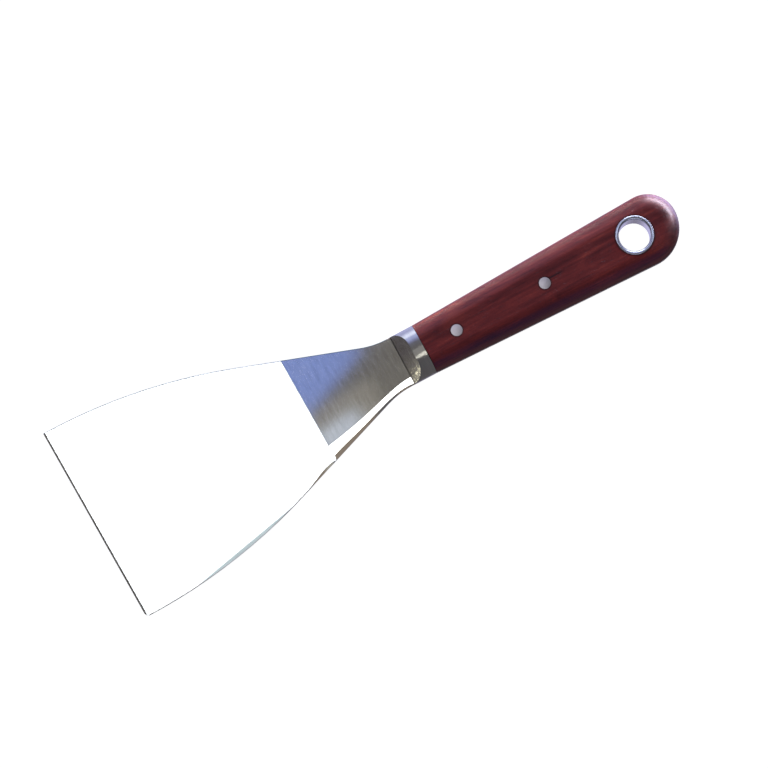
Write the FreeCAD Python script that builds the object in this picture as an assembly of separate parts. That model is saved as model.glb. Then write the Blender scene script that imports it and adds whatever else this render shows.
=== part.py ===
"""Three-inch painter's filling knife with a riveted rosewood handle. All lengths are in mm.

Stations run along the knife from the far corner of the working edge (0) to the end of the
handle (LENGTH). The working edge and the grind line stand slightly out of square, so the
near side of the blade is a little shorter than the far side.
Heights are measured from the middle plane of the blade while the pieces are made.
On export everything is moved so that X=0 is the middle of the knife, Y=0 is its centre line
and Z=0 is the lowest point of the back, with the front face of the blade looking up.
"""
import FreeCAD
import Part
from FreeCAD import Vector

import math
import os

# Whole knife
LENGTH = 235.8

# Blade outline, seen from the front
EDGE_WIDTH = 75.0
EDGE_SKEW = 0.022
EDGE_PARALLEL = 2.85
SIDE_RADIUS = 207.0
SIDE_ANGLE = 19.2
NECK_HALF_WIDTH = 9.42
NECK_RADIUS = 30.0
WORN_CORNER_RADIUS = 1.8

# Blade thickness, as half values from the middle plane
TIP_HALF = 0.15
LAND_LENGTH = 0.7
LAND_HALF = 0.30
GRIND_END_HALF = 0.85
NECK_HALF = 1.5
GRIND_STATION = 87.25
GRIND_RISER = 0.2

# Ground facets along the near side of the blade
EDGE_BREAK = 0.25
POLISHED_SLOPE = 0.07
OUTER_SLOPE = 0.43
GRIND_END_AT_SIDE = 87.7
POLISHED_START = (82.0, 15.15)
POLISHED_INNER_EDGE = [(GRIND_END_AT_SIDE, 14.39), (97.0, 12.7), (107.0, 10.3), (117.0, 7.6)]
POLISHED_INNER_AT_BOLSTER = 6.5
SLIVER_FOOT = [(66.0, 0.74), (72.0, 0.68), (77.0, 0.54), (82.0, 0.37)]
OUTER_WIDTH_AT_GRIND = 1.75
OUTER_WIDTH_AT_BOLSTER = 0.40
FLAT_FACET_STATION = 44.85
FLAT_FACET_WIDTH = 1.4
FLAT_FACET_SLOPE = 0.12

# Bolster and handle
BOLSTER_FRONT = 124.7
BOLSTER_CREST = 129.35
BOLSTER_REAR = 133.75
HANDLE_HALF_THICKNESS = 7.75
HANDLE_ROUNDING = 6.0
HANDLE_TAPER = 0.03416
CAP_LEAN = 1.5
JOINT_BREAK = 0.15

# Rivets and lined hang hole, all on the centre line
RIVET_STATIONS = {"rivet_bolster_end": 146.75, "rivet_middle": 182.3}
RIVET_RADIUS = 2.1
RIVET_DOME = 0.12
HANG_HOLE_STATION = 218.6
EYELET_BORE_RADIUS = 5.7
EYELET_TUBE_RADIUS = 6.3
EYELET_LIP_RADIUS = 7.0
EYELET_LIP_HEIGHT = 0.4
EYELET_SEAT_DEPTH = 0.7

SIDE_TAN = math.tan(math.radians(SIDE_ANGLE))
SIDE_SIN = math.sin(math.radians(SIDE_ANGLE))
SIDE_COS = math.cos(math.radians(SIDE_ANGLE))

# The working edge on the centre line, with the far corner at station 0
EDGE_STATION = EDGE_SKEW * EDGE_WIDTH / 2
LAND_END = EDGE_STATION + LAND_LENGTH

# Where the outline's arcs meet its straight part
CURVE_END = EDGE_PARALLEL + SIDE_RADIUS * SIDE_SIN
CURVE_END_HALF = EDGE_WIDTH / 2 - SIDE_RADIUS * (1 - SIDE_COS)
NECK_ARC_HALF = NECK_HALF_WIDTH + NECK_RADIUS * (1 - SIDE_COS)
NECK_ARC_START = CURVE_END + (CURVE_END_HALF - NECK_ARC_HALF) / SIDE_TAN
NECK_ARC_END = NECK_ARC_START + NECK_RADIUS * SIDE_SIN

# The round end of the handle, tangent to both tapered sides and fuller on the far side
TAPER_ANGLE = math.atan(HANDLE_TAPER)
CAP_HALF = NECK_HALF_WIDTH + HANDLE_TAPER * (LENGTH - BOLSTER_REAR)


def cap_radius(side):
    """Radius of one side of the round end, with side +1 for the far and -1 for the near side."""
    return (CAP_HALF - side * CAP_LEAN) / (1 / math.cos(TAPER_ANGLE) + HANDLE_TAPER)


def cap_point(side, angle):
    """A point of the round end, at an angle from the knife's axis."""
    radius = cap_radius(side)
    return Vector(
        LENGTH - radius + radius * math.cos(angle),
        CAP_LEAN + side * radius * math.sin(angle),
        0,
    )


def cap_tangent(side):
    """Where the round end meets a tapered side."""
    return cap_point(side, math.pi / 2 + TAPER_ANGLE)


def blade_half_width(station):
    """Half width of the blade at a station in front of the bolster."""
    if station <= EDGE_PARALLEL:
        return EDGE_WIDTH / 2
    if station <= CURVE_END:
        run = station - EDGE_PARALLEL
        return EDGE_WIDTH / 2 - SIDE_RADIUS + math.sqrt(SIDE_RADIUS**2 - run**2)
    if station <= NECK_ARC_START:
        return CURVE_END_HALF - (station - CURVE_END) * SIDE_TAN
    if station <= NECK_ARC_END:
        run = NECK_ARC_END - station
        return NECK_HALF_WIDTH + NECK_RADIUS - math.sqrt(NECK_RADIUS**2 - run**2)
    return NECK_HALF_WIDTH


def profile_station(point):
    """Where a point of the blade lies along the side view, which is skewed across the blade."""
    return point.x + EDGE_SKEW * point.y


def ground_half(station):
    """Half thickness of the ground part at the near side of the blade."""
    along = profile_station(Vector(station, -blade_half_width(station), 0))
    run = (along - LAND_END) / (GRIND_STATION - GRIND_RISER - LAND_END)
    return LAND_HALF + (GRIND_END_HALF - LAND_HALF) * run


def plan_point(station, half_width, side):
    """A point of the outline, with side +1 or -1."""
    return Vector(station, side * half_width, 0)


def blade_side_edges(side):
    """One side of the blade, from the working edge to the end of the neck."""
    corner = plan_point(EDGE_STATION - side * EDGE_STATION, EDGE_WIDTH / 2, side)
    curve_start = plan_point(EDGE_PARALLEL, EDGE_WIDTH / 2, side)
    curve_middle = plan_point(CURVE_END / 2, blade_half_width(CURVE_END / 2), side)
    curve_end = plan_point(CURVE_END, CURVE_END_HALF, side)
    neck_start = plan_point(NECK_ARC_START, NECK_ARC_HALF, side)
    neck_mid_station = (NECK_ARC_START + NECK_ARC_END) / 2
    neck_middle = plan_point(neck_mid_station, blade_half_width(neck_mid_station), side)
    neck_end = plan_point(NECK_ARC_END, NECK_HALF_WIDTH, side)
    return [
        Part.LineSegment(corner, curve_start).toShape(),
        Part.Arc(curve_start, curve_middle, curve_end).toShape(),
        Part.LineSegment(curve_end, neck_start).toShape(),
        Part.Arc(neck_start, neck_middle, neck_end).toShape(),
    ]


def handle_side_edges(start, side):
    """One side of the bolster and handle, from a start station to the tip of the round end."""
    first = plan_point(start, NECK_HALF_WIDTH, side)
    joint = plan_point(BOLSTER_REAR, NECK_HALF_WIDTH, side)
    return [
        Part.LineSegment(first, joint).toShape(),
        Part.LineSegment(joint, cap_tangent(side)).toShape(),
        Part.Arc(cap_tangent(side), cap_point(side, math.pi / 4), cap_point(side, 0)).toShape(),
    ]


def plan_prism(edges, bottom, top):
    """Extrudes a closed outline between two heights."""
    wire = Part.Wire(Part.__sortEdges__(edges))
    face = Part.Face(wire)
    face.translate(Vector(0, 0, bottom))
    return face.extrude(Vector(0, 0, top - bottom))


def both_sides(builder, *args):
    """Edges of the far and the near side together."""
    return builder(*args, 1) + builder(*args, -1)


def mirrored(shape):
    """The same shape on the back of the knife."""
    return shape.mirror(Vector(0, 0, 0), Vector(0, 0, 1))


def side_profile():
    """Side view of blade, neck and tang, extruded across the full width along the skewed edge."""
    upper = [
        Vector(EDGE_STATION - 1, 0, TIP_HALF),
        Vector(EDGE_STATION, 0, TIP_HALF),
        Vector(LAND_END, 0, LAND_HALF),
        Vector(GRIND_STATION - GRIND_RISER, 0, GRIND_END_HALF),
        Vector(GRIND_STATION, 0, NECK_HALF),
        Vector(LENGTH + 2, 0, NECK_HALF),
    ]
    lower = [Vector(p.x, 0, -p.z) for p in reversed(upper)]
    face = Part.Face(Part.makePolygon(upper + lower + [upper[0]]))
    face.translate(Vector(EDGE_SKEW * EDGE_WIDTH, -EDGE_WIDTH, 0))
    return face.extrude(Vector(-2 * EDGE_SKEW * EDGE_WIDTH, 2 * EDGE_WIDTH, 0))


def facet_section(station, inner, height, slope):
    """Cross section of a facet cutter that falls away outward from one point of its surface."""
    inward = 3.5
    outer = blade_half_width(station) + 2.0
    roof = NECK_HALF + 2.0
    return Part.makePolygon([
        Vector(station, -(inner - inward), height + slope * inward),
        Vector(station, -outer, height - slope * (outer - inner)),
        Vector(station, -outer, roof),
        Vector(station, -(inner - inward), roof),
        Vector(station, -(inner - inward), height + slope * inward),
    ])


def neck_facet_line():
    """Stations along the neck with the distance of the polished facet's inner edge from the middle."""
    return POLISHED_INNER_EDGE + [(BOLSTER_FRONT, POLISHED_INNER_AT_BOLSTER)]


def polished_facet():
    """Narrow polished facet along the near side of the neck."""
    line = [POLISHED_START] + neck_facet_line()
    sections = [facet_section(s, inner, NECK_HALF, POLISHED_SLOPE) for s, inner in line]
    return Part.makeLoft(sections, True, False)


def sliver_facet():
    """Steep sliver at the edge of the ground part, which runs out at the grind line."""
    line = SLIVER_FOOT + [(GRIND_END_AT_SIDE, GRIND_END_HALF)]
    sections = [facet_section(s, blade_half_width(s), foot, OUTER_SLOPE) for s, foot in line]
    return Part.makeLoft(sections, True, False)


def outer_facet():
    """Steep facet at the edge of the neck, widest at the grind line and narrow at the bolster."""
    sections = []
    for station, inner in neck_facet_line():
        run = (station - GRIND_END_AT_SIDE) / (BOLSTER_FRONT - GRIND_END_AT_SIDE)
        width = OUTER_WIDTH_AT_GRIND + (OUTER_WIDTH_AT_BOLSTER - OUTER_WIDTH_AT_GRIND) * run
        half_width = blade_half_width(station)
        drop = POLISHED_SLOPE * (half_width - inner) + (OUTER_SLOPE - POLISHED_SLOPE) * width
        sections.append(facet_section(station, half_width, NECK_HALF - drop, OUTER_SLOPE))
    return Part.makeLoft(sections, True, False)


def flat_facet():
    """Flat hand-ground facet that meets the curved side as a long sliver."""
    turn = math.asin((FLAT_FACET_STATION - EDGE_PARALLEL) / SIDE_RADIUS)
    rise = ground_half(1.0) - ground_half(0.0)
    along = Vector(math.cos(turn), math.sin(turn), rise)
    outward = Vector(math.sin(turn), -math.cos(turn), -FLAT_FACET_SLOPE)
    half_width = blade_half_width(FLAT_FACET_STATION)
    middle = Vector(FLAT_FACET_STATION, -half_width, ground_half(FLAT_FACET_STATION))
    middle = middle - Vector(outward.x, outward.y, 0) * FLAT_FACET_WIDTH
    reach = 45.0
    corners = [
        middle - along * reach - outward * 2,
        middle + along * reach - outward * 2,
        middle + along * reach + outward * 10,
        middle - along * reach + outward * 10,
    ]
    face = Part.Face(Part.makePolygon(corners + [corners[0]]))
    return face.extrude(Vector(0, 0, NECK_HALF + 2.0))


def is_side_edge(edge):
    """True for the sharp edges between the faces of the blade and its sides."""
    for fraction in (0.0, 0.5, 1.0):
        low, high = edge.ParameterRange
        point = edge.valueAt(low + (high - low) * fraction)
        if point.x > NECK_ARC_END + 0.01 or profile_station(point) < LAND_END - 0.01:
            return False
        if abs(abs(point.y) - blade_half_width(point.x)) > 0.02:
            return False
    start = edge.valueAt(low)
    end = edge.valueAt(high)
    return abs(end.x - start.x) > 0.5


def through_hole(station, radius):
    """Round tool through the whole thickness of the handle."""
    depth = HANDLE_HALF_THICKNESS + 2
    return Part.makeCylinder(radius, 2 * depth, Vector(station, 0, -depth))


def handle_holes():
    """Tools for the two rivet holes and the hang hole."""
    tools = [through_hole(station, RIVET_RADIUS) for station in RIVET_STATIONS.values()]
    tools.append(through_hole(HANG_HOLE_STATION, EYELET_TUBE_RADIUS))
    return tools


def eyelet_seat():
    """Tool for the shallow seat that the eyelet's lip sits in."""
    floor = HANDLE_HALF_THICKNESS - EYELET_SEAT_DEPTH
    return Part.makeCylinder(EYELET_LIP_RADIUS, 2, Vector(HANG_HOLE_STATION, 0, floor))


def blade_with_tang():
    """Blade, neck and full-width tang, forged and ground from one bar."""
    edges = both_sides(blade_side_edges) + both_sides(handle_side_edges, NECK_ARC_END)
    tip_far = plan_point(0, EDGE_WIDTH / 2, 1)
    tip_near = plan_point(2 * EDGE_STATION, EDGE_WIDTH / 2, -1)
    edges.append(Part.LineSegment(tip_near, tip_far).toShape())
    body = plan_prism(edges, -NECK_HALF, NECK_HALF)
    body = body.common(side_profile())
    body = body.makeChamfer(EDGE_BREAK, [e for e in body.Edges if is_side_edge(e)])
    body = body.cut(worn_corner())
    for facet in (polished_facet(), sliver_facet(), outer_facet(), flat_facet()):
        body = body.cut(facet).cut(mirrored(facet))
    return body.cut(handle_holes())


def worn_corner():
    """Tool that rounds the near corner of the working edge."""
    r = WORN_CORNER_RADIUS
    corner = plan_point(2 * EDGE_STATION, EDGE_WIDTH / 2, -1)
    along_edge = Vector(-EDGE_SKEW, 1, 0).normalize()
    inward = Vector(along_edge.y, -along_edge.x, 0)
    centre_y = corner.y + r
    centre_x = EDGE_STATION - EDGE_SKEW * centre_y + r / inward.x
    centre = Vector(centre_x, centre_y, 0)
    outline = [
        centre,
        centre - inward * r,
        corner - Vector(1, 1, 0),
        centre - Vector(0, r, 0),
        centre,
    ]
    block = Part.Face(Part.makePolygon(outline)).extrude(Vector(0, 0, 2))
    block.translate(Vector(0, 0, -1))
    return block.cut(Part.makeCylinder(r, 4, centre - Vector(0, 0, 2)))


def handle_half():
    """Front half of bolster and handle as one rounded block, before it is divided."""
    edges = both_sides(handle_side_edges, BOLSTER_FRONT)
    front_far = plan_point(BOLSTER_FRONT, NECK_HALF_WIDTH, 1)
    front_near = plan_point(BOLSTER_FRONT, NECK_HALF_WIDTH, -1)
    edges.append(Part.LineSegment(front_near, front_far).toShape())
    block = plan_prism(edges, NECK_HALF, HANDLE_HALF_THICKNESS)
    rim = [e for e in block.Edges if is_rim_edge(e)]
    return block.makeFillet(HANDLE_ROUNDING, rim)


def is_rim_edge(edge):
    """True for the edges round the flat top, except the one at the front of the bolster."""
    box = edge.BoundBox
    return box.ZMin > HANDLE_HALF_THICKNESS - 0.01 and box.XMax > BOLSTER_FRONT + 1


def slab(start, end):
    """A block that spans the handle between two stations."""
    reach = 2 * CAP_HALF
    return Part.makeBox(end - start, 2 * reach, 2 * reach, Vector(start, -reach, -reach))


def break_joint_edge(shape, station):
    """Takes the sharpness off the edge that shows where bolster and wood meet."""
    edges = [
        e for e in shape.Edges
        if abs(e.BoundBox.XMin - station) < 0.01
        and abs(e.BoundBox.XMax - station) < 0.01
        and e.BoundBox.ZMax > NECK_HALF + 0.01
    ]
    return shape.makeChamfer(JOINT_BREAK, edges)


def bolster_front():
    """Steel bolster cheek with its front cut back to a ramp."""
    cheek = handle_half().common(slab(BOLSTER_FRONT, BOLSTER_REAR))
    cheek = break_joint_edge(cheek, BOLSTER_REAR)
    rise = HANDLE_HALF_THICKNESS - NECK_HALF
    run = BOLSTER_CREST - BOLSTER_FRONT
    reach = 2 * CAP_HALF
    ramp = Part.Face(Part.makePolygon([
        Vector(BOLSTER_FRONT, -reach, NECK_HALF),
        Vector(BOLSTER_FRONT + 2 * run, -reach, NECK_HALF + 2 * rise),
        Vector(BOLSTER_FRONT - run, -reach, NECK_HALF + 2 * rise),
        Vector(BOLSTER_FRONT - run, -reach, NECK_HALF - 1),
        Vector(BOLSTER_FRONT, -reach, NECK_HALF),
    ]))
    return cheek.cut(ramp.extrude(Vector(0, 2 * reach, 0)))


def scale_front():
    """Rosewood handle scale, drilled for the rivets and the eyelet."""
    scale = handle_half().common(slab(BOLSTER_REAR, LENGTH + 1))
    return scale.cut(handle_holes()).cut(eyelet_seat())


def rivet(station):
    """Solid rivet through both scales and the tang, with slightly domed ends."""
    top = HANDLE_HALF_THICKNESS + RIVET_DOME
    dome_radius = (RIVET_RADIUS**2 + RIVET_DOME**2) / (2 * RIVET_DOME)
    shank = Part.makeCylinder(RIVET_RADIUS, 2 * top, Vector(station, 0, -top))
    front_ball = Part.makeSphere(dome_radius, Vector(station, 0, top - dome_radius))
    back_ball = Part.makeSphere(dome_radius, Vector(station, 0, dome_radius - top))
    return shank.common(front_ball).common(back_ball)


def quarter_arc(centre, radius, start_angle):
    """A quarter circle in the XZ plane, turning towards +Z from +X."""
    points = []
    for step in (0, 45, 90):
        angle = math.radians(start_angle + step)
        points.append(centre + Vector(radius * math.cos(angle), 0, radius * math.sin(angle)))
    return Part.Arc(*points).toShape()


def hang_eyelet():
    """Thin steel tube that lines the hang hole, with a flared throat and a rolled lip at both ends."""
    h = HANDLE_HALF_THICKNESS
    seat = h - EYELET_SEAT_DEPTH
    bore = EYELET_BORE_RADIUS
    tube = EYELET_TUBE_RADIUS
    lip = EYELET_LIP_RADIUS
    crest = lip - EYELET_LIP_HEIGHT
    throat = crest - bore
    throat_height = h + EYELET_LIP_HEIGHT - throat
    edges = [
        Part.LineSegment(Vector(tube, 0, -seat), Vector(tube, 0, seat)).toShape(),
        Part.LineSegment(Vector(tube, 0, seat), Vector(lip, 0, seat)).toShape(),
        Part.LineSegment(Vector(lip, 0, seat), Vector(lip, 0, h)).toShape(),
        quarter_arc(Vector(crest, 0, h), EYELET_LIP_HEIGHT, 0),
        quarter_arc(Vector(crest, 0, throat_height), throat, 90),
        Part.LineSegment(Vector(bore, 0, throat_height), Vector(bore, 0, -throat_height)).toShape(),
        quarter_arc(Vector(crest, 0, -throat_height), throat, 180),
        quarter_arc(Vector(crest, 0, -h), EYELET_LIP_HEIGHT, 270),
        Part.LineSegment(Vector(lip, 0, -h), Vector(lip, 0, -seat)).toShape(),
        Part.LineSegment(Vector(lip, 0, -seat), Vector(tube, 0, -seat)).toShape(),
    ]
    face = Part.Face(Part.Wire(Part.__sortEdges__(edges)))
    solid = face.revolve(Vector(0, 0, 0), Vector(0, 0, 1), 360)
    solid.translate(Vector(HANG_HOLE_STATION, 0, 0))
    return solid


def export(name, shape):
    """Moves a finished piece into the shared frame and writes it."""
    piece = shape.Solids[0]
    piece.translate(Vector(-LENGTH / 2, 0, HANDLE_HALF_THICKNESS + EYELET_LIP_HEIGHT))
    piece.exportStep("parts/" + name + ".step")
    print(name, len(shape.Solids), piece.isValid(), round(piece.Volume, 1))


os.makedirs("parts", exist_ok=True)
cheek_front = bolster_front()
wood_front = scale_front()
export("blade_with_tang", blade_with_tang())
export("bolster_front", cheek_front)
export("bolster_back", mirrored(cheek_front))
export("scale_front", wood_front)
export("scale_back", mirrored(wood_front))
for rivet_name, rivet_station in RIVET_STATIONS.items():
    export(rivet_name, rivet(rivet_station))
export("hang_eyelet", hang_eyelet())
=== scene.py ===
import math

import bpy
from mathutils import Matrix, Vector


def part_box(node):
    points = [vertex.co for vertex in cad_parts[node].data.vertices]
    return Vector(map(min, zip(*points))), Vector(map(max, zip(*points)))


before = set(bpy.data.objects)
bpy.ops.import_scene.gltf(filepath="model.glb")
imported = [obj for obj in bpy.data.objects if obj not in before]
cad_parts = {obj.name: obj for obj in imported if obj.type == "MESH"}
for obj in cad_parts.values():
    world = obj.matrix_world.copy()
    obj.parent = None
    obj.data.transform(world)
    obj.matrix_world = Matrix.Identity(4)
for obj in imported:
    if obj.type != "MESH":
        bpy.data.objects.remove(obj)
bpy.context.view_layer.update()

# ---------------------------------------------------------------- places read from the CAD
LOW = {name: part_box(name)[0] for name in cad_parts}
HIGH = {name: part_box(name)[1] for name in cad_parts}
BLADE = "blade_with_tang"
CHEEKS = ("bolster_front", "bolster_back")
SCALES = ("scale_front", "scale_back")
RIVETS = ("rivet_bolster_end", "rivet_middle")

TIP_X = LOW[BLADE].x
MID_Z = (LOW[BLADE].z + HIGH[BLADE].z) / 2
RIVET_X = [(LOW[n].x + HIGH[n].x) / 2 for n in RIVETS]
RIVET_R = (HIGH["rivet_middle"].x - LOW["rivet_middle"].x) / 2
HOLE_X = (LOW["hang_eyelet"].x + HIGH["hang_eyelet"].x) / 2
HOLE_R = (HIGH["hang_eyelet"].x - LOW["hang_eyelet"].x) / 2
JOINT_X = HIGH["bolster_front"].x
BOLSTER_X = LOW["bolster_front"].x

# what the boxes don't give: how the blade and the bolster are divided, and how skewed the blade's lines are
GROUND_LENGTH = 0.08725
GRIND_RISER = 0.0003
EDGE_LAND = 0.0016
EDGE_SKEW = 0.022
RAMP_LENGTH = 0.00465
GRIND_X = TIP_X + GROUND_LENGTH
BOLSTER_CREST_X = BOLSTER_X + RAMP_LENGTH


# ---------------------------------------------------------------- node helpers
class Tree:
    """Shorthand for building a node tree. A value is a number, a colour or another node's output."""

    def __init__(self, tree):
        self.tree = tree
        self.tree.nodes.clear()

    def node(self, kind, **settings):
        n = self.tree.nodes.new(kind)
        for key, value in settings.items():
            setattr(n, key, value)
        return n

    def link(self, a, b):
        self.tree.links.new(a, b)

    def put(self, socket, value):
        if hasattr(value, "is_output"):
            self.link(value, socket)
        else:
            socket.default_value = value

    def math(self, op, a, b=0.0, c=0.0):
        n = self.node("ShaderNodeMath", operation=op)
        for socket, value in zip(n.inputs, (a, b, c)):
            self.put(socket, value)
        return n.outputs[0]

    def product(self, *values):
        total = values[0]
        for value in values[1:]:
            total = self.math("MULTIPLY", total, value)
        return total

    def weighted(self, first, *others):
        """The sum of some (value, weight) pairs."""
        total = self.math("MULTIPLY", *first)
        for value, weight in others:
            total = self.math("MULTIPLY_ADD", value, weight, total)
        return total

    def ramp(self, value, low, high, out_low=0.0, out_high=1.0):
        """Goes smoothly from out_low to out_high while the value goes from low to high."""
        n = self.node("ShaderNodeMapRange", interpolation_type="SMOOTHSTEP")
        self.put(n.inputs["Value"], value)
        n.inputs["From Min"].default_value = low
        n.inputs["From Max"].default_value = high
        n.inputs["To Min"].default_value = out_low
        n.inputs["To Max"].default_value = out_high
        return n.outputs[0]

    def mix(self, factor, a, b):
        n = self.node("ShaderNodeMix", data_type="RGBA")
        self.put(n.inputs[0], factor)
        for socket, colour in ((n.inputs[6], a), (n.inputs[7], b)):
            self.put(socket, colour if hasattr(colour, "is_output") else (*colour, 1.0))
        return n.outputs[2]

    def colours(self, value, stops):
        """A colour ramp with (position, colour) stops."""
        n = self.node("ShaderNodeValToRGB")
        self.put(n.inputs[0], value)
        elements = n.color_ramp.elements
        while len(elements) < len(stops):
            elements.new(0.5)
        for element, (position, colour) in zip(elements, stops):
            element.position = position
            element.color = (*colour, 1.0)
        return n.outputs["Color"]


class Surface(Tree):
    """A new material with one Principled shader, in the object's own coordinates."""

    def __init__(self, name):
        self.mat = bpy.data.materials.new(name)
        self.mat.use_nodes = True
        super().__init__(self.mat.node_tree)
        out = self.node("ShaderNodeOutputMaterial")
        self.shader = self.node("ShaderNodeBsdfPrincipled")
        self.link(self.shader.outputs["BSDF"], out.inputs["Surface"])
        self.coord = self.node("ShaderNodeTexCoord").outputs["Object"]

    def noise(self, scale, offset=(0, 0, 0), detail=2.0, rough=0.5, distortion=0.0):
        """Noise with its own scale on each axis, in cycles per metre."""
        placed = self.node("ShaderNodeMapping")
        self.link(self.coord, placed.inputs["Vector"])
        placed.inputs["Scale"].default_value = scale
        placed.inputs["Location"].default_value = offset
        n = self.node("ShaderNodeTexNoise")
        self.link(placed.outputs["Vector"], n.inputs["Vector"])
        n.inputs["Scale"].default_value = 1.0
        n.inputs["Detail"].default_value = detail
        n.inputs["Roughness"].default_value = rough
        n.inputs["Distortion"].default_value = distortion
        return n.outputs["Fac"]

    def xyz(self):
        n = self.node("ShaderNodeSeparateXYZ")
        self.link(self.coord, n.inputs[0])
        return n.outputs[0], n.outputs[1], n.outputs[2]

    def bump(self, height, distance, strength=1.0):
        n = self.node("ShaderNodeBump")
        self.link(height, n.inputs["Height"])
        n.inputs["Distance"].default_value = distance
        n.inputs["Strength"].default_value = strength
        self.link(n.outputs["Normal"], self.shader.inputs["Normal"])

    def set(self, **values):
        for key, value in values.items():
            self.put(self.shader.inputs[key.replace("_", " ")], value)


# ---------------------------------------------------------------- steel
BROAD_STREAKS = 0.22
DARK_STREAKS = 0.86
LIGHT_STREAKS = 1.06
SMUDGE_ROUGHENS = 0.25
# painted shade: a dark band in the crease where the bolster's ramp meets the blade
CREASE_SHADE = (0.05, 0.045, 0.045)
CREASE_SHADE_SHARE = 0.8
CREASE_SHADE_WIDTH = 0.0007
CROWN_WAVES = 7.0


def steel(name, tint, rough, rough_spread, streak, streak_bump,
          aniso=0.0, crown=None, dents=0.0, crease_shade_x=None):
    """Steel with fine streaks.

    streak is the noise scale on each axis, low along the streaks, and streak_bump is their height.
    aniso stretches the gloss round the Y axis, crown is the radius of a rounding across the handle,
    dents is the height of shallow dents, and crease_shade_x is the X of a crease where shade is painted
    into the colour.
    """
    g = Surface(name)
    fine = g.noise(streak, detail=3.0, rough=0.6)
    broad = g.noise([v * BROAD_STREAKS for v in streak], (3, 7, 1))
    smudge = g.noise((60, 60, 60), detail=3.0, rough=0.55)
    streaks = g.weighted((fine, 0.5), (broad, 0.5))
    tone = g.colours(streaks, [
        (0.30, [c * DARK_STREAKS for c in tint]),
        (0.70, [min(1.0, c * LIGHT_STREAKS) for c in tint]),
    ])
    spread = g.math("MULTIPLY_ADD", streaks, rough_spread, rough - rough_spread / 2)
    roughness = g.math("MULTIPLY_ADD", g.ramp(smudge, 0.45, 0.75), rough * SMUDGE_ROUGHENS, spread)
    g.set(Base_Color=tone, Metallic=1.0, Roughness=roughness)
    if aniso:
        g.set(Anisotropic=aniso)
        tangent = g.node("ShaderNodeTangent", direction_type="RADIAL", axis="Y")
        g.link(tangent.outputs[0], g.shader.inputs["Tangent"])
    # painted shade: within CREASE_SHADE_WIDTH of crease_shade_x the colour is mixed towards CREASE_SHADE, a
    # dark band in the crease
    if crease_shade_x:
        x, _, _ = g.xyz()
        crease_shade = g.ramp(x, crease_shade_x, crease_shade_x + CREASE_SHADE_WIDTH, CREASE_SHADE_SHARE, 0.0)
        g.set(Base_Color=g.mix(crease_shade, tone, CREASE_SHADE))

    # the bump's height is in units of streak_bump
    height = streaks
    if dents:
        marks = g.noise((300, 620, 300), (6, 2, 5), detail=0.6, rough=0.4, distortion=0.5)
        height = g.math("MULTIPLY_ADD", marks, dents / streak_bump, streaks)
    if crown:
        _, y, _ = g.xyz()
        waves = g.noise((420, 700, 700), (2, 4, 8))
        height = g.math("MULTIPLY_ADD", waves, CROWN_WAVES, streaks)
        height = g.math("MULTIPLY_ADD", g.product(y, y), -0.5 / crown / streak_bump, height)
    g.bump(height, streak_bump)
    return g.mat


# ---------------------------------------------------------------- wood
WARM_WOOD = (0.230, 0.0400, 0.0140)
WARM_SHARE = 0.45
WARM_REACH = 0.030
PORE_WOOD = (0.012, 0.003, 0.004)
PORE_SHARE = 0.55
# painted shade and grime round the rivets and the hole; the crack is drawn in the same dark tone
RIM_SHADE_AND_CRACK_WOOD = (0.014, 0.003, 0.006)
RIM_SHADE_SHARE = 0.75
RIM_SHADE_WIDTH = 0.0008
CRACK_SHARE = 0.8
CRACK_Y = 0.0008
CRACK_HALF_WIDTH = 0.00040
CRACK_CORE = 0.00015
CRACK_END = RIVET_X[1] + 0.0090
CRACK_FADES = RIVET_X[1] + 0.0060


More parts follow.
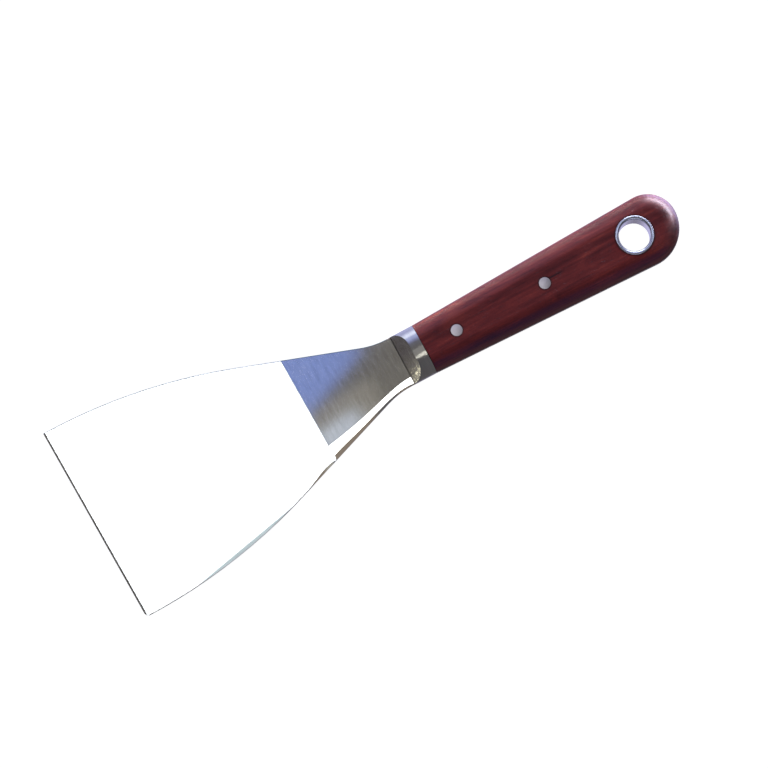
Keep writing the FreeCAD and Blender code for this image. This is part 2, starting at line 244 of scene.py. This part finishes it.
def rosewood(name):
    """Oiled rosewood with its grain along the handle, darker round the metal set into it with painted shade
    and grime.
    """
    g = Surface(name)
    x, y, z = g.xyz()
    drift = g.noise((22, 95, 95), detail=3.0, rough=0.6, distortion=0.6)
    mottle = g.noise((70, 210, 210), (4, 1, 6), detail=4.0, rough=0.65, distortion=1.2)
    figure = g.noise((16, 330, 330), (1, 2, 3), detail=4.0, rough=0.62, distortion=0.35)
    streaks = g.noise((40, 1300, 1300), (5, 1, 2), detail=3.0, rough=0.6, distortion=0.2)
    speckle = g.noise((1500, 2400, 2400), (7, 3, 1), rough=0.6)
    pores = g.ramp(g.noise((260, 4200, 4200), (2, 9, 4)), 0.36, 0.28)
    grain = g.weighted((streaks, 0.24), (figure, 0.32), (mottle, 0.30), (speckle, 0.14))
    grain = g.math("MULTIPLY_ADD", g.math("SUBTRACT", drift, 0.5), 0.30, grain)
    base = g.colours(grain, [
        (0.34, (0.048, 0.0052, 0.0070)),
        (0.45, (0.100, 0.0110, 0.0112)),
        (0.54, (0.150, 0.0180, 0.0150)),
        (0.64, (0.240, 0.0370, 0.0220)),
    ])

    # a warm patch on the far side next to the bolster, and the open pores
    near_joint = g.ramp(x, JOINT_X + WARM_REACH, JOINT_X)
    warm = g.product(near_joint, g.ramp(y, -0.002, 0.008), g.ramp(mottle, 0.40, 0.62), WARM_SHARE)
    base = g.mix(warm, base, WARM_WOOD)
    base = g.mix(g.product(pores, PORE_SHARE), base, PORE_WOOD)

    # painted shade and grime: dark rims in the gaps round the metal
    for centre, radius in ((RIVET_X[0], RIVET_R), (RIVET_X[1], RIVET_R), (HOLE_X, HOLE_R)):
        away = g.math("POWER", g.math("SUBTRACT", x, centre), 2.0)
        away = g.math("SQRT", g.math("ADD", away, g.product(y, y)))
        base = g.mix(g.ramp(away, radius + RIM_SHADE_WIDTH, radius, 0.0, RIM_SHADE_SHARE), base, RIM_SHADE_AND_CRACK_WOOD)

    # a short crack beside the middle rivet, on the front only
    crack = g.product(
        g.ramp(g.math("ABSOLUTE", g.math("SUBTRACT", y, CRACK_Y)), CRACK_HALF_WIDTH, CRACK_CORE),
        g.ramp(x, CRACK_END, CRACK_FADES),
        g.ramp(x, RIVET_X[1], RIVET_X[1] + RIVET_R),
        g.ramp(z, MID_Z, HIGH["scale_front"].z, 0.0, CRACK_SHARE),
    )
    base = g.mix(crack, base, RIM_SHADE_AND_CRACK_WOOD)

    g.set(Base_Color=base, Roughness=g.math("MULTIPLY_ADD", grain, 0.22, 0.27), Specular_IOR_Level=0.34)
    g.bump(g.weighted((streaks, 0.4), (pores, -0.6)), distance=0.00006, strength=0.6)
    return g.mat


# name, tint, roughness and its spread, streaks, height of the streaks
GROUND = steel("steel_ground", (0.88, 0.90, 0.91), 0.34, 0.06, (1400, 60, 1400), 0.000003)
BRUSHED = steel("steel_brushed", (0.63, 0.61, 0.57), 0.105, 0.05, (4200, 700, 4200), 0.000003, aniso=0.3)
FACET = steel("steel_facet", (0.80, 0.81, 0.81), 0.10, 0.04, (200, 2000, 2000), 0.000002)
TANG = steel("steel_tang", (0.36, 0.28, 0.26), 0.30, 0.12, (150, 1500, 2500), 0.000006)
# painted shade: a dark bluish steel for the faces of the blade that turn towards the far side
FAR_SIDE_SHADE = steel("steel_far_side_shade", (0.09, 0.13, 0.15), 0.22, 0.08, (200, 1500, 1500), 0.000003)
EDGE = steel("steel_edge", (0.50, 0.48, 0.46), 0.16, 0.05, (200, 1500, 1500), 0.000003)
POLISHED = steel("steel_bolster", (0.64, 0.63, 0.63), 0.10, 0.05, (1500, 120, 120), 0.000004, crown=0.030)
RAMP = steel("steel_ramp", (0.66, 0.62, 0.60), 0.24, 0.10, (700, 120, 700), 0.000006,
             dents=0.00011, crease_shade_x=BOLSTER_X)
RIVET = steel("steel_rivet", (0.64, 0.61, 0.66), 0.34, 0.14, (700, 900, 700), 0.000010)
EYELET = steel("steel_eyelet", (0.68, 0.68, 0.74), 0.18, 0.08, (500, 500, 900), 0.000006)
WOOD = rosewood("rosewood")


# ---------------------------------------------------------------- what each face is made of
SQUARE_TO_Y = 0.05
FACES_FAR_SIDE = 0.3
FACES_UP = 0.85
FLAT_FACE = 0.9995
FACES_TIP = -0.4


def dress(node, materials, choose=None):
    """Gives a CAD node its materials. choose(centre, normal) picks one for each face."""
    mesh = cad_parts[node].data
    mesh.materials.clear()
    for material in materials:
        mesh.materials.append(material)
    for polygon in mesh.polygons:
        polygon.material_index = materials.index(choose(polygon.center, polygon.normal)) if choose else 0


def blade_finish(centre, normal):
    """The riser of the grind, the far side painted dark as shade, the other sides, the edge, the facets,
    the flats.
    """
    along = centre.x + EDGE_SKEW * centre.y
    if abs(normal.y) < SQUARE_TO_Y and GRIND_X - GRIND_RISER < along < GRIND_X:
        return GROUND
    # painted shade: faces turned towards the far side, in front of the bolster, take the dark
    # FAR_SIDE_SHADE steel
    if normal.y > FACES_FAR_SIDE and centre.x < BOLSTER_X:
        return FAR_SIDE_SHADE
    if abs(normal.z) < FACES_UP:
        return TANG
    if along < TIP_X + EDGE_LAND:
        return EDGE
    if abs(normal.z) < FLAT_FACE:
        return FACET
    return GROUND if along < GRIND_X else BRUSHED


dress(BLADE, [GROUND, BRUSHED, FACET, TANG, EDGE, FAR_SIDE_SHADE], blade_finish)
for cheek in CHEEKS:
    dress(cheek, [POLISHED, RAMP], lambda centre, normal: RAMP if normal.x < FACES_TIP else POLISHED)
for scale in SCALES:
    dress(scale, [WOOD])
for rivet in RIVETS:
    dress(rivet, [RIVET])
dress("hang_eyelet", [EYELET])

# ---------------------------------------------------------------- floor
FLOOR_REACH = 6.0
FLOOR_DROP = 0.0005
corners = [(-1, -1), (1, -1), (1, 1), (-1, 1)]
floor_mesh = bpy.data.meshes.new("floor")
floor_mesh.from_pydata([(x * FLOOR_REACH, y * FLOOR_REACH, 0) for x, y in corners], [], [(0, 1, 2, 3)])
floor = bpy.data.objects.new("floor", floor_mesh)
bpy.context.scene.collection.objects.link(floor)
floor.location.z = -FLOOR_DROP
floor.visible_diffuse = False
floor.visible_glossy = False
paper = Surface("floor_paper")
fibre = paper.noise((40, 40, 40), detail=3.0, rough=0.6)
paper.set(Base_Color=paper.mix(fibre, (0.26, 0.26, 0.26), (0.30, 0.30, 0.30)), Roughness=0.9)
paper.set(Emission_Color=(1.0, 1.0, 1.0, 1.0), Emission_Strength=0.99)
floor_mesh.materials.append(paper.mat)

# ---------------------------------------------------------------- camera
ROLL = math.radians(28.2)
TILT = math.radians(5.0)
DISTANCE = 3.0
FIELD = 0.2733
AIM = Vector((-0.00265, -0.00413, MID_Z))
image_up = Vector((math.sin(ROLL), math.cos(ROLL), 0))
back = (Vector((0, 0, 1)) * math.cos(TILT) - image_up * math.sin(TILT)).normalized()
right = Vector((math.cos(ROLL), -math.sin(ROLL), 0))
up = back.cross(right).normalized()
camera_data = bpy.data.cameras.new("camera")
camera_data.lens = camera_data.sensor_width * DISTANCE / FIELD
camera_data.clip_start = 0.01
camera_data.clip_end = 20
camera = bpy.data.objects.new("camera", camera_data)
bpy.context.scene.collection.objects.link(camera)
turn = Matrix((right, up, back)).transposed()
camera.matrix_world = Matrix.Translation(AIM + back * DISTANCE) @ turn.to_4x4()
bpy.context.scene.camera = camera

# ---------------------------------------------------------------- lights
EYE = camera.matrix_world.translation.copy()
CARD_HEIGHT = 0.10
SOFT_CARD_HEIGHT = 0.16
WATTS_PER_RADIANCE_AND_AREA = 4


def mirrored_sight(point, height, lean):
    """Where the camera's sight line meets a height, after a face at the point mirrors it.

    The face falls by the slopes of lean towards +X and -Y.
    """
    point = Vector(point)
    normal = Vector((lean[0], -lean[1], 1)).normalized()
    sight = (point - EYE).reflect(normal)
    return point + sight * ((height - point.z) / sight.z)


def panel(name, receivers, place, target, size, radiance, colour, diffuse=False, glossy=True):
    """A soft rectangular light that looks at a target and shines on some CAD nodes only."""
    data = bpy.data.lights.new(name, "AREA")
    data.shape = "RECTANGLE"
    data.size, data.size_y = size
    data.energy = radiance * WATTS_PER_RADIANCE_AND_AREA * size[0] * size[1]
    data.color = colour
    light = bpy.data.objects.new(name, data)
    bpy.context.scene.collection.objects.link(light)
    light.location = place
    light.rotation_euler = (Vector(target) - Vector(place)).to_track_quat("-Z", "Y").to_euler()
    light.visible_camera = False
    light.visible_diffuse = diffuse
    light.visible_glossy = glossy
    group = bpy.data.collections.new(name + "_receivers")
    for node in receivers:
        group.objects.link(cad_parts[node])
    light.light_linking.receiver_collection = group
    return light


def overhead(name, receivers, place, angle, size, radiance, colour):
    """A panel that shines straight down, turned by an angle in its own plane."""
    below = Vector(place) - Vector((0, 0, 1))
    light = panel(name, receivers, place, below, size, radiance, colour)
    light.rotation_euler = (0, 0, angle)


def card(name, node, first, last, lean, height, depth, radiance, colour):
    """An overhead light that a face on top of a node mirrors into the camera.

    One side of the card runs between the places that the first and the last point of the face mirror.
    The rest of the card lies to the left of that side.
    """
    start, end = (mirrored_sight((*point, HIGH[node].z), height, lean) for point in (first, last))
    along = end - start
    left = Vector((-along.y, along.x, 0)).normalized()
    middle = (start + end) / 2 + left * depth / 2
    overhead(name, [node], middle, math.atan2(along.y, along.x), (along.length, depth), radiance, colour)


# soft daylight from the far side, for everything that isn't a mirror
panel("key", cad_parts, place=(0.0, 0.85, -0.09), target=(0.03, 0, 0), size=(0.9, 0.24),
      radiance=43.0, colour=(1.0, 0.90, 0.80), diffuse=True, glossy=False)
panel("fill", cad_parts, place=(0.0, 0.60, 0.72), target=(0.03, 0, 0), size=(0.8, 0.5),
      radiance=3.2, colour=(1.0, 0.95, 1.25), diffuse=True, glossy=False)

# the window beyond the end of the handle, and a dimmer glow from below it
panel("window", SCALES, place=(0.62, 0.28, 0.09), target=(0.11, 0, 0.01), size=(0.80, 0.26),
      radiance=30.0, colour=(0.82, 0.84, 1.0))
panel("low_window", SCALES, place=(0.62, 0.28, -0.32), target=(0.11, 0, 0.01), size=(0.80, 0.46),
      radiance=6.0, colour=(0.66, 0.58, 1.0))

# a bluish sheen on the near side of the wood, and what the paper throws back onto its lower edge
panel("dim_light", SCALES, place=(0.03, -0.80, 0.25), target=(0.03, 0, 0.01), size=(1.2, 0.8),
      radiance=0.40, colour=(0.05, 0.24, 1.0))
panel("thrown_light", SCALES, place=(0.05, -0.50, -0.25), target=(0.05, 0, 0), size=(1.0, 0.3),
      radiance=0.30, colour=(1.0, 0.55, 0.75), diffuse=True)

# the satin ground part of the blade takes a strong light that the smoother neck mirrors past the camera
panel("grind_light", [BLADE], place=(-0.25, 1.00, 2.40), target=(-0.075, 0, 0), size=(1.30, 1.20),
      radiance=6.6, colour=(0.97, 1.0, 1.0))

# cards that the neck and the facets of the blade mirror into the camera
FLAT = (0.0, 0.0)
POLISHED_LEAN = (0.0, 0.07)
FLAT_FACET_LEAN = (0.02, 0.12)
OUTER_LEAN = (0.14, 0.43)
card("sky_card", BLADE, first=(GRIND_X - 0.014, -0.0065), last=(GRIND_X + 0.027, 0.0095),
     lean=FLAT, height=SOFT_CARD_HEIGHT, depth=0.08, radiance=0.60, colour=(0.12, 0.28, 1.0))
card("corner_card", BLADE, first=(GRIND_X - 0.010, -0.0200), last=(GRIND_X + 0.016, -0.0160),
     lean=FLAT, height=SOFT_CARD_HEIGHT, depth=0.010, radiance=0.70, colour=(0.66, 0.78, 1.0))
card("warm_card", BLADE, first=(GRIND_X - 0.004, -0.0170), last=(BOLSTER_X - 0.012, -0.0150),
     lean=FLAT, height=SOFT_CARD_HEIGHT, depth=0.016, radiance=0.13, colour=(1.0, 0.95, 0.80))
card("polished_card", BLADE, first=(GRIND_X - 0.012, -0.0240), last=(BOLSTER_X + 0.014, -0.0085),
     lean=POLISHED_LEAN, height=CARD_HEIGHT, depth=0.010, radiance=2.4, colour=(1.0, 1.0, 0.97))
card("flat_card", BLADE, first=(GRIND_X - 0.075, -0.0420), last=(GRIND_X - 0.020, -0.0300),
     lean=FLAT_FACET_LEAN, height=CARD_HEIGHT, depth=0.010, radiance=0.60, colour=(0.80, 0.95, 1.0))
card("brown_card", BLADE, first=(GRIND_X + 0.001, -0.0300), last=(BOLSTER_X - 0.015, -0.0190),
     lean=OUTER_LEAN, height=CARD_HEIGHT, depth=0.020, radiance=0.15, colour=(1.0, 0.70, 0.40))
card("cream_card", BLADE, first=(GRIND_X - 0.028, -0.0390), last=(GRIND_X - 0.001, -0.0300),
     lean=OUTER_LEAN, height=CARD_HEIGHT, depth=0.020, radiance=0.30, colour=(1.0, 0.92, 0.74))

# the flat of the bolster mirrors a narrow bright card and a weak wide one, and its ramp a warm glow
STREAK_LEAN = (0.0, 0.07)
card("streak_card", "bolster_front", first=(BOLSTER_CREST_X - 0.002, -0.0044),
     last=(JOINT_X + 0.002, -0.0030),
     lean=STREAK_LEAN, height=CARD_HEIGHT, depth=0.006, radiance=1.05, colour=(1.0, 1.0, 0.86))
card("soft_streak_card", "bolster_front", first=(BOLSTER_CREST_X - 0.004, -0.0030),
     last=(JOINT_X + 0.004, -0.0024),
     lean=STREAK_LEAN, height=CARD_HEIGHT, depth=0.022, radiance=0.13, colour=(1.0, 1.0, 0.96))
panel("ramp_glow", ["bolster_front"], place=(BOLSTER_X - 0.022, -0.0095, 0.0125),
      target=(BOLSTER_X + 0.003, -0.0085, 0.0125), size=(0.006, 0.005),
      radiance=13.0, colour=(1.0, 1.0, 0.74))

# light on the rivet heads, on the lips of the eyelet from above, and on its flare from both sides
panel("rivet_light", RIVETS, place=(-0.06, 0.06, 0.50), target=(0.05, 0, 0.015), size=(0.36, 0.34),
      radiance=0.62, colour=(0.97, 0.96, 1.0))
overhead("lip_light", ["hang_eyelet"], place=(HOLE_X, 0, 0.40), angle=-ROLL, size=(0.90, 0.10),
         radiance=0.95, colour=(0.60, 0.70, 1.0))
FLARE_REACH = 0.28
for name, side, radiance, colour in (
    ("flare_light", 1.0, 3.4, (0.86, 0.92, 1.0)),
    ("lilac_light", -1.0, 0.75, (0.72, 0.76, 1.0)),
):
    panel(name, ["hang_eyelet"], Vector((HOLE_X, 0, 0.02)) + image_up * side * FLARE_REACH,
          target=(HOLE_X, 0, 0.015), size=(0.30, 0.20), radiance=radiance, colour=colour)

# ---------------------------------------------------------------- room
# tones from the near side to the far side, for directions above the horizon, about level, and below
BRIGHTER_TOWARDS = (0.17, 0.47, 0.0)
ABOVE = [
    (0.00, (0.12, 0.12, 0.125)),
    (0.46, (0.12, 0.115, 0.12)),
    (0.51, (0.175, 0.165, 0.150)),
    (0.60, (0.170, 0.165, 0.165)),
    (0.66, (0.190, 0.195, 0.250)),
    (0.72, (0.255, 0.265, 0.410)),
    (0.80, (0.360, 0.400, 0.670)),
    (0.91, (0.560, 0.630, 1.000)),
]
LEVEL = [
    (0.42, (0.12, 0.115, 0.12)),
    (0.47, (0.55, 0.52, 0.75)),
    (0.80, (0.75, 0.80, 1.15)),
    (0.93, (1.15, 1.24, 1.55)),
]
BELOW = [
    (0.42, (0.12, 0.115, 0.12)),
    (0.48, (0.60, 0.56, 0.84)),
    (0.70, (0.56, 0.59, 0.92)),
]
LEVEL_BETWEEN = (0.44, 0.10)
BELOW_BETWEEN = (-0.02, -0.60)


def studio_world():
    """A dim room, bluish and brighter towards +Y, over a pale floor. The camera sees plain white."""
    world = bpy.data.worlds.new("studio")
    world.use_nodes = True
    t = Tree(world.node_tree)
    direction = t.node("ShaderNodeTexCoord").outputs["Generated"]
    side = t.node("ShaderNodeVectorMath", operation="DOT_PRODUCT")
    side.inputs[1].default_value = BRIGHTER_TOWARDS
    t.link(direction, side.inputs[0])
    # 0 on the near side, 0.5 overhead, 1 on the far side
    across = t.math("ADD", side.outputs["Value"], 0.5)
    split = t.node("ShaderNodeSeparateXYZ")
    t.link(direction, split.inputs[0])
    tone = t.colours(across, ABOVE)
    for stops, between in ((LEVEL, LEVEL_BETWEEN), (BELOW, BELOW_BETWEEN)):
        tone = t.mix(t.ramp(split.outputs["Z"], *between), tone, t.colours(across, stops))
    room = t.node("ShaderNodeBackground")
    t.link(tone, room.inputs["Color"])
    white = t.node("ShaderNodeBackground")
    white.inputs["Color"].default_value = (1.0, 1.0, 1.0, 1.0)
    choice = t.node("ShaderNodeMixShader")
    t.link(t.node("ShaderNodeLightPath").outputs["Is Camera Ray"], choice.inputs[0])
    t.link(room.outputs[0], choice.inputs[1])
    t.link(white.outputs[0], choice.inputs[2])
    t.link(choice.outputs[0], t.node("ShaderNodeOutputWorld").inputs["Surface"])
    bpy.context.scene.world = world


studio_world()
bpy.context.scene.view_settings.view_transform = "Standard"
